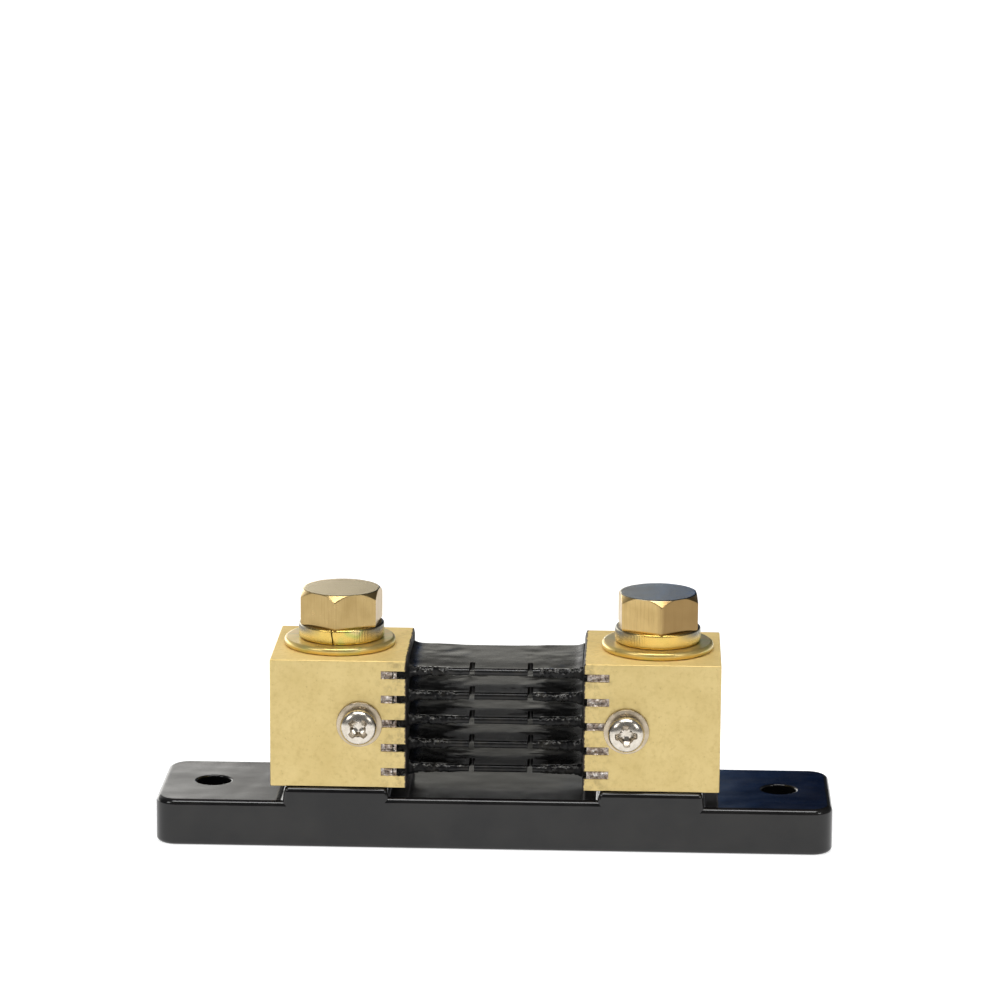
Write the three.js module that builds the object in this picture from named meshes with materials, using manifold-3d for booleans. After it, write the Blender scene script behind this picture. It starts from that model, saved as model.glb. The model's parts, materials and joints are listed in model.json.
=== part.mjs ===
// A resistive current shunt: two brass terminal blocks joined by five thin
// resistor strips, screwed down onto a moulded base. Each block carries a
// hexagon bolt for the battery cable and a small screw for the sense wire.
//
// Millimetres, +Z up, +Y to the rear. The origin is the middle of the base's
// underside. The terminals stand left (-X) and right (+X), and the sense
// screws face the front (-Y).

import * as THREE from "three";
import { mergeVertices } from "three/addons/utils/BufferGeometryUtils.js";
import Module from "manifold-3d";

const wasm = await Module();
wasm.setup();

// ---------------------------------------------------------------- dimensions

// Moulded base: two mounting flanges, two raised pads and a lower middle.
const baseLength = 126.8;
const baseDepth = 27.8;
const baseCornerRadius = 4;
const topRounding = 1.6;
const bottomRounding = 1.2;
const flangeHeight = 8.8;
const middleHeight = 9.8;
const padHeight = 11.6;
const padSpacing = 58.8;
const padFootLength = 20;
const padTopLength = 19.4;
const mountingHoleSpacing = 107.2;
const mountingHoleDiameter = 6.6;

// Brass terminal blocks, cut from bar, with slots sawn for the strips.
const blockLength = 25.4;
const blockDepth = 26.4;
const blockHeight = 24.4;
const blockSpacing = 58.4;
const elementOffset = 0.25;
const slotHeight = 1.5;
const slotLength = 4.7;
const slotPitch = 4.65;
const middleSlotHeight = 24;

// Resistor strips, trimmed by two saw cuts in the front edge of each.
const stripCount = 5;
const stripThickness = 1.2;
const stripFront = -10.1;
const stripBack = 8.5;
const stripEndGap = 0.3;
const trimCutPositions = [-4.2, 6.7];
const trimCutWidth = 1;
const trimCutDepth = 5;
const solderLength = 2.9;
const solderRecess = 0.25;

// Terminal bolts, 3/8 inch with a 9/16 inch hexagon, and their washers.
const hexagonWidth = 14.29;
const boltHeadHeight = 6.45;
const boltHeadFaceDiameter = 14.5;
const boltChamferDrop = 1.3;
const boltDiameter = 9.4;
const boltLength = 19.05;
const boltHoleDiameter = 10;
const boltHoleDepth = 17;
const flatWasherDiameter = 21;
const flatWasherBore = 10.4;
const flatWasherThickness = 1.5;
const springWasherDiameter = 16.1;
const springWasherBore = 10.2;
const springWasherHeight = 2.9;
const springWasherSplit = 0.4;
const springWasherSplitLean = -8;

// Sense screws, number 6 with a pan head and a cross recess, and their washers.
const senseHeadDiameter = 6.8;
const senseHeadHeight = 2.4;
const senseHeadEdge = 0.7;
const senseDiameter = 3.4;
const senseLength = 9.5;
const senseHoleDiameter = 3.9;
const senseHoleDepth = 9.2;
const senseFlatDiameter = 8.5;
const senseFlatThickness = 0.7;
const senseSpringDiameter = 6.6;
const senseSpringHeight = 1;
const senseWasherBore = 3.9;
const recessWidth = 1;
const recessSpan = 4;
const recessDepth = 1.5;

// Base screws, driven up through the base into the blocks.
const baseScrewSpacing = 15;
const baseScrewDiameter = 4;
const baseScrewReach = 18.6;
const baseScrewHoleDiameter = 4.5;
const baseScrewHoleTop = 19.4;
const baseScrewHeadDiameter = 7;
const baseScrewHeadHeight = 2.6;
const counterboreDiameter = 8;
const counterboreDepth = 4;

// What differs between the two terminals. Angles are in degrees, and a flat washer
// sits off its bolt's axis by washerShift, as its loose bore lets it.
const terminals = [
  {
    name: "left",
    side: -1,
    boltX: -29.2,
    boltTurn: -5,
    splitTurn: -8.5,
    washerShift: -0.3,
    senseX: -24.95,
    senseZ: 23.9,
    recessTurn: 45,
  },
  {
    name: "right",
    side: 1,
    boltX: 30.3,
    boltTurn: 5,
    splitTurn: 160,
    washerShift: 0,
    senseX: 24.7,
    senseZ: 23.3,
    recessTurn: 4,
  },
];

const roundSides = 32;
const smallRoundSides = 24;

// ----------------------------------------------------------------- materials

const materials = {
  base: new THREE.MeshStandardMaterial({ color: 0x15161a, roughness: 0.3, metalness: 0 }),
  paint: new THREE.MeshStandardMaterial({ color: 0x0b0b0d, roughness: 0.25, metalness: 0 }),
  brass: new THREE.MeshStandardMaterial({ color: 0xd9bf74, roughness: 0.45, metalness: 1 }),
  bolt: new THREE.MeshStandardMaterial({ color: 0xb99a55, roughness: 0.35, metalness: 1 }),
  zinc: new THREE.MeshStandardMaterial({ color: 0xd8c06a, roughness: 0.3, metalness: 1 }),
  solder: new THREE.MeshStandardMaterial({ color: 0x9a958c, roughness: 0.5, metalness: 1 }),
  steel: new THREE.MeshStandardMaterial({ color: 0xd4d0c8, roughness: 0.25, metalness: 1 }),
};

// ------------------------------------------------------------------- helpers

const radians = THREE.MathUtils.degToRad;

// A closed geometry as a solid that can be joined and cut.
function solid(geometry) {
  const bare = geometry.clone();
  bare.deleteAttribute("normal");
  bare.deleteAttribute("uv");
  const merged = mergeVertices(bare, 1e-4);
  const corners = merged.index.array;
  const triangles = [];
  for (let i = 0; i < corners.length; i += 3) {
    const [a, b, c] = corners.slice(i, i + 3);
    if (a !== b && b !== c && c !== a) triangles.push(a, b, c);
  }
  return new wasm.Manifold(
    new wasm.Mesh({
      numProp: 3,
      vertProperties: new Float32Array(merged.attributes.position.array),
      triVerts: new Uint32Array(triangles),
    }),
  );
}

// A solid as a geometry that a mesh can hold.
function geometryOf(shape) {
  const { vertProperties, triVerts } = shape.getMesh();
  const geometry = new THREE.BufferGeometry();
  geometry.setAttribute("position", new THREE.BufferAttribute(vertProperties, 3));
  geometry.setIndex(new THREE.BufferAttribute(triVerts, 1));
  geometry.computeVertexNormals();
  return geometry;
}

// A rectangular block between two corners.
function blockBetween(low, high) {
  const size = high.map((value, axis) => value - low[axis]);
  const middle = high.map((value, axis) => (value + low[axis]) / 2);
  return solid(new THREE.BoxGeometry(...size).translate(...middle));
}

// A solid turned about the Z axis from [radius, height] points, lowest first.
function turned(points, sides = roundSides) {
  const profile = points.map(([radius, height]) => new THREE.Vector2(radius, height));
  return solid(new THREE.LatheGeometry(profile, sides).rotateX(Math.PI / 2));
}

// A round bar standing on the Z axis.
function bar(diameter, bottom, top, sides = roundSides) {
  const radius = diameter / 2;
  return turned([[0, bottom], [radius, bottom], [radius, top], [0, top]], sides);
}

// A flat ring standing on the Z axis.
function ring(diameter, bore, bottom, top, sides = roundSides) {
  return bar(diameter, bottom, top, sides).subtract(bar(bore, bottom - 1, top + 1, sides));
}

// ---------------------------------------------------------------------- base

// The outline of the base seen from above.
function baseOutline() {
  const x = baseLength / 2;
  const y = baseDepth / 2;
  const r = baseCornerRadius;
  const outline = new THREE.Shape();
  outline.moveTo(r - x, -y);
  outline.lineTo(x - r, -y);
  outline.absarc(x - r, r - y, r, -Math.PI / 2, 0);
  outline.lineTo(x, y - r);
  outline.absarc(x - r, y - r, r, 0, Math.PI / 2);
  outline.lineTo(r - x, y);
  outline.absarc(r - x, y - r, r, Math.PI / 2, Math.PI);
  outline.lineTo(-x, r - y);
  outline.absarc(r - x, r - y, r, Math.PI, Math.PI * 1.5);
  return outline;
}

// A plate with the base's outline and one rounding on its top and bottom edges.
function roundedPlate(height, rounding) {
  const plate = new THREE.ExtrudeGeometry(baseOutline(), {
    depth: height - 2 * rounding,
    bevelThickness: rounding,
    bevelSize: rounding,
    bevelOffset: -rounding,
    bevelSegments: 3,
    curveSegments: 6,
  });
  return solid(plate.translate(0, 0, rounding));
}

// The raised middle and pads, as one stepped side view drawn across the base.
function raisedProfile() {
  const foot = padFootLength / 2;
  const top = padTopLength / 2;
  const centre = padSpacing / 2;
  const floor = flangeHeight / 2;
  const outline = new THREE.Shape();
  outline.moveTo(-centre - foot, floor);
  outline.lineTo(centre + foot, floor);
  outline.lineTo(centre + foot, flangeHeight);
  outline.lineTo(centre + top, padHeight);
  outline.lineTo(centre - top, padHeight);
  outline.lineTo(centre - foot, middleHeight);
  outline.lineTo(foot - centre, middleHeight);
  outline.lineTo(top - centre, padHeight);
  outline.lineTo(-centre - top, padHeight);
  outline.lineTo(-centre - foot, flangeHeight);
  return outline;
}

function raisedPart() {
  const raised = new THREE.ExtrudeGeometry(raisedProfile(), {
    depth: baseDepth - 2 * topRounding,
    bevelThickness: topRounding,
    bevelSize: topRounding,
    bevelOffset: -topRounding,
    bevelSegments: 3,
  });
  return solid(raised.rotateX(Math.PI / 2).translate(0, baseDepth / 2 - topRounding, 0));
}

// The places of the base screws, on either side of each block's middle.
function baseScrewPlaces(terminal) {
  const x = blockCentre(terminal);
  return [-baseScrewSpacing / 2, baseScrewSpacing / 2].map((y) => [x, y]);
}

function baseGeometry() {
  const halfHeight = flangeHeight / 2;
  const lower = roundedPlate(flangeHeight, bottomRounding);
  const upper = roundedPlate(flangeHeight, topRounding);
  const reach = baseLength;
  const below = blockBetween([-reach, -reach, -1], [reach, reach, halfHeight]);
  let base = lower.intersect(below).add(upper.subtract(below)).add(raisedPart());
  const mountingHole = bar(mountingHoleDiameter, -1, flangeHeight + 1);
  const screwHole = bar(baseScrewHoleDiameter, -1, padHeight + 1, smallRoundSides);
  const counterbore = bar(counterboreDiameter, -1, counterboreDepth, smallRoundSides);
  for (const terminal of terminals) {
    base = base.subtract(mountingHole.translate([(terminal.side * mountingHoleSpacing) / 2, 0, 0]));
    for (const [x, y] of baseScrewPlaces(terminal)) {
      base = base.subtract(screwHole.translate([x, y, 0]));
      base = base.subtract(counterbore.translate([x, y, 0]));
    }
  }
  return geometryOf(base);
}

function baseScrewGeometry() {
  const head = counterboreDepth - baseScrewHeadHeight;
  const shank = baseScrewDiameter / 2;
  const edge = baseScrewHeadDiameter / 2;
  const screw = turned(
    [
      [0, head],
      [edge - 0.6, head],
      [edge, head + 0.8],
      [edge, counterboreDepth],
      [shank, counterboreDepth],
      [shank, baseScrewReach - 0.6],
      [shank - 0.6, baseScrewReach],
      [0, baseScrewReach],
    ],
    smallRoundSides,
  );
  return geometryOf(screw.subtract(crossRecess(head - 1, head + recessDepth, 0)));
}

// ------------------------------------------------------- blocks and resistor

function blockCentre(terminal) {
  return elementOffset + (terminal.side * blockSpacing) / 2;
}

// The face of a block that looks at the other block.
function innerFace(terminal) {
  return blockCentre(terminal) - (terminal.side * blockLength) / 2;
}

function slotHeights() {
  const middle = (stripCount - 1) / 2;
  return Array.from({ length: stripCount }, (_, i) => middleSlotHeight + (middle - i) * slotPitch);
}

// A box from a block's inner face into the block, or past the face where start < 0.
function boxIntoBlock(terminal, start, end, front, back, low, high) {
  const xs = [start, end].map((step) => innerFace(terminal) + terminal.side * step);
  return blockBetween([Math.min(...xs), front, low], [Math.max(...xs), back, high]);
}

function blockGeometry(terminal) {
  const x = blockCentre(terminal);
  const half = blockLength / 2;
  const front = -blockDepth / 2;
  const top = padHeight + blockHeight;
  let block = blockBetween([x - half, front, padHeight], [x + half, -front, top]);
  for (const z of slotHeights()) {
    const [low, high] = [z - slotHeight / 2, z + slotHeight / 2];
    block = block.subtract(boxIntoBlock(terminal, -1, slotLength, front - 1, 1 - front, low, high));
  }
  const boltHole = bar(boltHoleDiameter, top - boltHoleDepth, top + 1);
  block = block.subtract(boltHole.translate([terminal.boltX, 0, 0]));
  const senseHole = bar(senseHoleDiameter, -1, senseHoleDepth, smallRoundSides);
  const senseFromFront = senseHole.rotate([-90, 0, 0]);
  block = block.subtract(senseFromFront.translate([terminal.senseX, front, terminal.senseZ]));
  const screwHole = bar(baseScrewHoleDiameter, padHeight - 1, baseScrewHoleTop, smallRoundSides);
  for (const [screwX, screwY] of baseScrewPlaces(terminal)) {
    block = block.subtract(screwHole.translate([screwX, screwY, 0]));
  }
  return geometryOf(block);
}

// How far a strip reaches into its slot on either side.
const stripReach = slotLength - stripEndGap;

function stripBody(z) {
  const [left, right] = terminals.map((t) => innerFace(t) + t.side * stripReach);
  const [low, high] = [z - stripThickness / 2, z + stripThickness / 2];
  return blockBetween([left, stripFront, low], [right, stripBack, high]);
}

function stripGeometry(z) {
  let strip = stripBody(z);
  for (const x of trimCutPositions) {
    const half = trimCutWidth / 2;
    const low = [x - half, stripFront - 1, z - slotHeight];
    const high = [x + half, stripFront + trimCutDepth, z + slotHeight];
    strip = strip.subtract(blockBetween(low, high));
  }
  return geometryOf(strip);
}

// Solder fills the inner end of a slot and wraps the end of the strip.
function solderGeometry(terminal, z) {
  const end = blockDepth / 2 - solderRecess;
  const start = slotLength - solderLength;
  const [low, high] = [z - slotHeight / 2, z + slotHeight / 2];
  const fill = boxIntoBlock(terminal, start, slotLength, -end, end, low, high);
  return geometryOf(fill.subtract(stripBody(z)));
}

// ------------------------------------------------------------ terminal bolts

const blockTop = padHeight + blockHeight;
const springWasherBottom = blockTop + flatWasherThickness;
const boltHeadBottom = springWasherBottom + springWasherHeight;
const boltHeadTop = boltHeadBottom + boltHeadHeight;

function hexagonPrism(width, bottom, top) {
  const corner = width / 2 / Math.cos(Math.PI / 6);
  const outline = new THREE.Shape();
  for (let i = 0; i < 6; i += 1) {
    const angle = (i * Math.PI) / 3 - Math.PI / 2;
    const point = [corner * Math.cos(angle), corner * Math.sin(angle)];
    if (i === 0) outline.moveTo(...point);
    else outline.lineTo(...point);
  }
  const prism = new THREE.ExtrudeGeometry(outline, { depth: top - bottom, bevelEnabled: false });
  return solid(prism.translate(0, 0, bottom));
}

// A hexagon head whose corners are cut back by a cone, on a plain shank.
function boltGeometry() {
  const face = boltHeadFaceDiameter / 2;
  const corner = hexagonWidth / Math.sqrt(3);
  const slope = boltChamferDrop / (corner - face);
  const flare = 2;
  const cone = turned([
    [0, boltHeadBottom - 1],
    [corner + flare, boltHeadBottom - 1],
    [corner + flare, boltHeadTop - boltChamferDrop - flare * slope],
    [face, boltHeadTop],
    [0, boltHeadTop],
  ]);
  const head = hexagonPrism(hexagonWidth, boltHeadBottom, boltHeadTop).intersect(cone);
  const radius = boltDiameter / 2;
  const tip = boltHeadBottom - boltLength;
  const shank = turned([
    [0, tip],
    [radius - 1, tip],
    [radius, tip + 1],
    [radius, boltHeadBottom + 1],
    [0, boltHeadBottom + 1],
  ]);
  return geometryOf(head.add(shank));
}

function flatWasherGeometry() {
  return geometryOf(ring(flatWasherDiameter, flatWasherBore, blockTop, springWasherBottom));
}

// A ring split by one leaning cut through its front.
function splitRing(diameter, bore, height, split, sides) {
  const cutter = new THREE.BoxGeometry(split, diameter, height * 4);
  cutter.rotateY(radians(springWasherSplitLean));
  cutter.translate(0, -diameter / 2, height / 2);
  return ring(diameter, bore, 0, height, sides).subtract(solid(cutter));
}

function springWasherGeometry() {
  const washer = splitRing(
    springWasherDiameter,
    springWasherBore,
    springWasherHeight,
    springWasherSplit,
    roundSides,
  );
  return geometryOf(washer);
}

// ------------------------------------------------------------- sense screws

// The cutter for a cross recess, opening towards -Z.
function crossRecess(mouth, floor, turn) {
  const half = recessWidth / 2;
  const span = recessSpan / 2;
  const arm = blockBetween([-half, -span, mouth], [half, span, floor]);
  return arm.add(arm.rotate([0, 0, 90])).rotate([0, 0, turn]);
}

// Drawn upright with its head down, and later laid so that the head faces front.
function senseScrewGeometry(terminal) {
  const stack = senseFlatThickness + senseSpringHeight;
  const radius = senseDiameter / 2;
  const edge = senseHeadDiameter / 2;
  const domeSteps = 4;
  const dome = [];
  for (let i = 0; i <= domeSteps; i += 1) {
    const angle = (i * Math.PI) / 2 / domeSteps;
    const rise = (senseHeadHeight - senseHeadEdge) * Math.cos(angle);
    dome.push([edge * Math.sin(angle) ** 0.8, -stack - senseHeadEdge - rise]);
  }
  const screw = turned(
    [
      ...dome,
      [edge, -stack],
      [radius, -stack],
      [radius, senseLength - stack - 0.5],
      [radius - 0.5, senseLength - stack],
      [0, senseLength - stack],
    ],
    smallRoundSides,
  );
  const top = -stack - senseHeadHeight;
  return geometryOf(screw.subtract(crossRecess(top - 1, top + recessDepth, terminal.recessTurn)));
}

function senseFlatWasherGeometry() {
  return geometryOf(ring(senseFlatDiameter, senseWasherBore, -senseFlatThickness, 0, smallRoundSides));
}

function senseSpringWasherGeometry() {
  const washer = splitRing(
    senseSpringDiameter,
    senseWasherBore,
    senseSpringHeight,
    recessWidth / 2,
    smallRoundSides,
  );
  return geometryOf(washer.translate([0, 0, -senseFlatThickness - senseSpringHeight]));
}

// ------------------------------------------------------------------ assembly

const shunt = new THREE.Group();

function addPiece(name, geometry, material, parent = shunt) {
  const mesh = new THREE.Mesh(geometry, material);
  mesh.name = name;
  parent.add(mesh);
  return mesh;
}

addPiece("base", baseGeometry(), materials.base);

slotHeights().forEach((z, i) => {
  addPiece(`resistor_strip_${i + 1}`, stripGeometry(z), materials.paint);
});

for (const terminal of terminals) {
  const { name } = terminal;
  addPiece(`${name}_terminal_block`, blockGeometry(terminal), materials.brass);

  slotHeights().forEach((z, i) => {
    addPiece(`${name}_solder_${i + 1}`, solderGeometry(terminal, z), materials.solder);
  });

  baseScrewPlaces(terminal).forEach(([x, y], i) => {
    const end = ["front", "rear"][i];
    const screw = addPiece(`${name}_base_screw_${end}`, baseScrewGeometry(), materials.steel);
    screw.position.set(x, y, 0);
  });

  const cableStack = new THREE.Group();
  cableStack.position.set(terminal.boltX, 0, 0);
  shunt.add(cableStack);
  const bolt = addPiece(`${name}_terminal_bolt`, boltGeometry(), materials.bolt, cableStack);
  bolt.rotation.z = radians(terminal.boltTurn);
  const spring = `${name}_spring_washer`;
  const springWasher = addPiece(spring, springWasherGeometry(), materials.zinc, cableStack);
  springWasher.position.z = springWasherBottom;
  springWasher.rotation.z = radians(terminal.splitTurn);
  const flat = `${name}_flat_washer`;
  const flatWasher = addPiece(flat, flatWasherGeometry(), materials.zinc, cableStack);
  flatWasher.position.x = terminal.washerShift;

  const senseStack = new THREE.Group();
  senseStack.position.set(terminal.senseX, -blockDepth / 2, terminal.senseZ);
  senseStack.rotation.x = -Math.PI / 2;
  shunt.add(senseStack);
  addPiece(`${name}_sense_screw`, senseScrewGeometry(terminal), materials.steel, senseStack);
  const senseSpring = `${name}_sense_spring_washer`;
  addPiece(senseSpring, senseSpringWasherGeometry(), materials.steel, senseStack);
  addPiece(`${name}_sense_flat_washer`, senseFlatWasherGeometry(), materials.steel, senseStack);
}

export default shunt;
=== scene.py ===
import json
import math
from contextlib import contextmanager

import bmesh
import bpy
import numpy as np
from mathutils import Euler, Matrix, Vector, noise


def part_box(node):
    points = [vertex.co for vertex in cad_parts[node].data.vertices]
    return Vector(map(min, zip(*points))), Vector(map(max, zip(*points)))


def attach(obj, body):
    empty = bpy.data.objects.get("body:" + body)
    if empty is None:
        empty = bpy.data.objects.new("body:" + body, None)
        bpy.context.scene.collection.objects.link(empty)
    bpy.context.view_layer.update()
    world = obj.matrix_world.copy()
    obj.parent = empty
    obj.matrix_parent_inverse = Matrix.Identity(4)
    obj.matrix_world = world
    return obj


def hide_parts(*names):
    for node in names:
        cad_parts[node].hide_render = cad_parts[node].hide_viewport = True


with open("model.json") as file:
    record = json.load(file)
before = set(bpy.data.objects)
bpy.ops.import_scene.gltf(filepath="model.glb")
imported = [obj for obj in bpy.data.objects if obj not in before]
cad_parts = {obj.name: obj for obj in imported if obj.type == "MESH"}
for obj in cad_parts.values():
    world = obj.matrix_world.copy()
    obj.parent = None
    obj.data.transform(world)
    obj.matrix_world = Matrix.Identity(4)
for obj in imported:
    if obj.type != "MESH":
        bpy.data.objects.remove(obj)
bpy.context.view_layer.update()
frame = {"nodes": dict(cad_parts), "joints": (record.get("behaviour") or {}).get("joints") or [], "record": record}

# The current shunt's looks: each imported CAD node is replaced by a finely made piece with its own
# procedural material. Everything is in metres, in the frame of the CAD model.

MM = 0.001
ROOT = "shunt_body"
SIDES = ("left", "right")
ENDS = ("front", "rear")
RECORD = frame["record"]
MOUNTS = {mount["name"]: mount for mount in RECORD["mounts"]}
OPENINGS = {opening["name"]: opening for opening in RECORD["physics"]["openings"]}
JOINTS = {joint["name"]: joint for joint in frame["joints"]}
STRIPS = [name for name in sorted(frame["nodes"]) if name.startswith("resistor_strip_")]
NUMBERS = range(1, len(STRIPS) + 1)
STUDS = {side: Vector(JOINTS[f"{side}_terminal_turn"]["pos_m"]) for side in SIDES}
SENSES = {side: Vector(JOINTS[f"{side}_sense_turn"]["pos_m"]) for side in SIDES}


# ---- mesh tools

SHARP_EDGE = math.radians(30)


def make_piece(name, mesh):
    piece = bpy.data.objects.new(name, mesh)
    bpy.context.scene.collection.objects.link(piece)
    return piece


@contextmanager
def edited(mesh):
    """The mesh as a bmesh, which is written back at the end."""
    shape = bmesh.new()
    shape.from_mesh(mesh)
    yield shape
    shape.to_mesh(mesh)
    shape.free()


def closed_piece(name, points, faces):
    """A piece from an array of points and a list of faces, with every face turned outwards."""
    mesh = bpy.data.meshes.new(name)
    mesh.from_pydata(points.reshape(-1, 3).tolist(), [], [[int(v) for v in face] for face in faces])
    with edited(mesh) as shape:
        bmesh.ops.recalc_face_normals(shape, faces=shape.faces)
        if shape.calc_volume(signed=True) < 0:
            bmesh.ops.reverse_faces(shape, faces=shape.faces)
    return make_piece(name, mesh)


def loft(name, rings, closed=False):
    """A closed mesh through rings of points. An open run of rings gets a cap at each end."""
    rings = np.asarray(rings, float)
    count, sides = rings.shape[:2]
    index = np.arange(count * sides).reshape(count, sides)
    faces = []
    for i in range(count if closed else count - 1):
        here, there = index[i], index[(i + 1) % count]
        for j in range(sides):
            k = (j + 1) % sides
            faces.append((here[j], here[k], there[k], there[j]))
    if not closed:
        faces += [index[0][::-1], index[-1]]
    return closed_piece(name, rings, faces)


def slab(name, rows, columns, pair):
    """A closed mesh between two sheets of points, joined round their border. pair(row, column)
    gives the front sheet's point and the back sheet's."""
    sheets = np.array([[pair(row, column) for column in columns] for row in rows])
    index = np.arange(len(rows) * len(columns)).reshape(len(rows), len(columns))
    faces = []
    for i in range(len(rows) - 1):
        for j in range(len(columns) - 1):
            quad = [index[i, j], index[i, j + 1], index[i + 1, j + 1], index[i + 1, j]]
            faces.append(quad)
            faces.append([corner + index.size for corner in quad[::-1]])
    border = [*index[0], *index[1:, -1], *index[-1, -2::-1], *index[-2:0:-1, 0]]
    for here, there in zip(border, border[1:] + border[:1]):
        faces.append([there, here, here + index.size, there + index.size])
    return closed_piece(name, sheets.transpose(2, 0, 1, 3), faces)


def prism(name, outline, start, end, to_point):
    """A closed mesh swept from an outline of 2-D points, placed by to_point(a, b, height)."""
    return loft(name, [[to_point(a, b, height) for a, b in outline] for height in (start, end)])


def settle(piece):
    """Makes the piece's modifiers part of its mesh."""
    graph = bpy.context.evaluated_depsgraph_get()
    mesh = bpy.data.meshes.new_from_object(piece.evaluated_get(graph))
    piece.modifiers.clear()
    piece.data = mesh
    return piece


def carve(piece, cutter):
    """Cuts the cutter's shape out of a piece and uses the cutter up."""
    modifier = piece.modifiers.new("carve", "BOOLEAN")
    modifier.object = cutter
    modifier.operation = "DIFFERENCE"
    modifier.solver = "EXACT"
    settle(piece)
    bpy.data.objects.remove(cutter)


def join(name, parts):
    """One piece that holds the closed meshes of several."""
    mesh = bpy.data.meshes.new(name)
    with edited(mesh) as shape:
        for part in parts:
            shape.from_mesh(part.data)
            bpy.data.objects.remove(part)
    return make_piece(name, mesh)


def round_edges(piece, width, segments, share):
    """Rounds each sharp edge by share(edge, middle) of width."""
    with edited(piece.data) as shape:
        layer = shape.edges.layers.float.new("bevel_weight_edge")
        for edge in shape.edges:
            if edge.calc_face_angle(0) > SHARP_EDGE:
                edge[layer] = share(edge, (edge.verts[0].co + edge.verts[1].co) / 2)
    modifier = piece.modifiers.new("round", "BEVEL")
    modifier.width = width
    modifier.segments = segments
    modifier.limit_method = "WEIGHT"
    settle(piece)


def smooth(piece, angle=35):
    """Smooth shading, with the edges sharper than angle left crisp."""
    piece.data.shade_smooth()
    piece.data.set_sharp_from_angle(angle=math.radians(angle))
    modifier = piece.modifiers.new("normals", "WEIGHTED_NORMAL")
    modifier.keep_sharp = True
    return settle(piece)


def angles_round(sides):
    return np.arange(sides) * 2 * math.pi / sides


def level_ring(radii, sides, z):
    """Points round the axis at height z, at one radius or at one for each point."""
    angles = angles_round(sides)
    return np.stack([radii * np.cos(angles), radii * np.sin(angles), np.full(sides, z)], axis=1)


def lathe(name, profile, sides):
    """A solid turned about Z from (radius, height) points. It ends in flat caps."""
    return loft(name, [level_ring(radius, sides, height) for radius, height in profile])


def move(piece, matrix):
    piece.data.transform(matrix)
    return piece


def shift(piece, x, y, z=0):
    return move(piece, Matrix.Translation((x, y, z)))


def arc(centre, radius, start, end, steps):
    """Points round an arc, in degrees."""
    angles = np.radians(np.linspace(start, end, steps + 1))
    return [(centre[0] + radius * math.cos(a), centre[1] + radius * math.sin(a)) for a in angles]


def lumps(point, size, seed, octaves=3):
    """Smooth noise from about -1 to 1, with features of that size."""
    offset = Vector((seed * 17.3, seed * 5.1, seed * 9.7))
    return noise.fractal(Vector(point) / size + offset, 0.7, 2.0, octaves)


def ease(value, low, high):
    """0 below low, 1 above high and smooth between them."""
    t = min(max((value - low) / (high - low), 0.0), 1.0)
    return t * t * (3 - 2 * t)


# ---- materials

class Nodes:
    """Short ways to build a node tree. Texture sizes are in millimetres."""

    def __init__(self, tree, space):
        self.tree = tree
        self.place = self.node("TexCoord").outputs[space]

    def node(self, kind, **settings):
        node = self.tree.nodes.new("ShaderNode" + kind)
        for key, value in settings.items():
            setattr(node, key, value)
        return node

    def feed(self, node, **inputs):
        """Fills a node's inputs from links or values and gives its first output. A key is an
        input's name, with underscores for its spaces, or an underscore and its number."""
        for key, value in inputs.items():
            socket = node.inputs[int(key[1:]) if key[0] == "_" else key.replace("_", " ")]
            if isinstance(value, bpy.types.NodeSocket):
                self.tree.links.new(value, socket)
            else:
                socket.default_value = value
        return node.outputs[0]

    def axis(self, name, vector=None):
        """One coordinate of the point, or of another vector."""
        split = self.node("SeparateXYZ")
        self.feed(split, _0=vector or self.place)
        return split.outputs[name]

    def from_centre(self, centre):
        return self.feed(self.node("VectorMath", operation="SUBTRACT"), _0=self.place, _1=centre)

    def stretched(self, x=1, y=1, z=1, turn=(0, 0, 0), vector=None):
        """The point for a texture that is drawn out along the axes with small numbers."""
        angles = [math.radians(angle) for angle in turn]
        node = self.node("Mapping")
        return self.feed(node, Vector=vector or self.place, Scale=(x, y, z), Rotation=angles)

    def noise(self, size, detail=4, roughness=0.6, vector=None, distortion=0.0):
        return self.feed(
            self.node("TexNoise"), Vector=vector or self.place, Scale=1 / (size * MM),
            Detail=detail, Roughness=roughness, Distortion=distortion,
        )

    def ramp(self, value, *stops, mode="EASE"):
        """Grey or coloured stops, as (place, value) or (place, (r, g, b))."""
        node = self.node("ValToRGB")
        node.color_ramp.interpolation = mode
        elements = node.color_ramp.elements
        while len(elements) < len(stops):
            elements.new(0.5)
        for element, (position, colour) in zip(elements, stops):
            element.position = position
            rgb = colour if isinstance(colour, tuple) else (colour,) * 3
            element.color = (*rgb, 1)
        return self.feed(node, Fac=value)

    def span(self, value, low, high, to_low=0.0, to_high=1.0):
        """The value, stretched so that low to high becomes to_low to to_high, and kept there."""
        return self.feed(
            self.node("MapRange"), Value=value, From_Min=low, From_Max=high, To_Min=to_low,
            To_Max=to_high,
        )

    def math(self, operation, a, b=0.0):
        return self.feed(self.node("Math", operation=operation), _0=a, _1=b)

    def times(self, a, b):
        return self.math("MULTIPLY", a, b)

    def plus(self, a, b):
        return self.math("ADD", a, b)

    def less(self, a, b):
        return self.math("SUBTRACT", a, b)

    def most(self, a, b):
        return self.math("MAXIMUM", a, b)

    def away(self, name, place):
        """How far the point is from a place along an axis."""
        return self.math("ABSOLUTE", self.less(self.axis(name), place))

    def mix(self, factor, a, b, mode="MIX"):
        node = self.node("Mix", data_type="RGBA", blend_type=mode)
        first, second = ((*v, 1) if isinstance(v, tuple) else v for v in (a, b))
        self.feed(node, _0=factor, _6=first, _7=second)
        return node.outputs[2]


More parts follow.
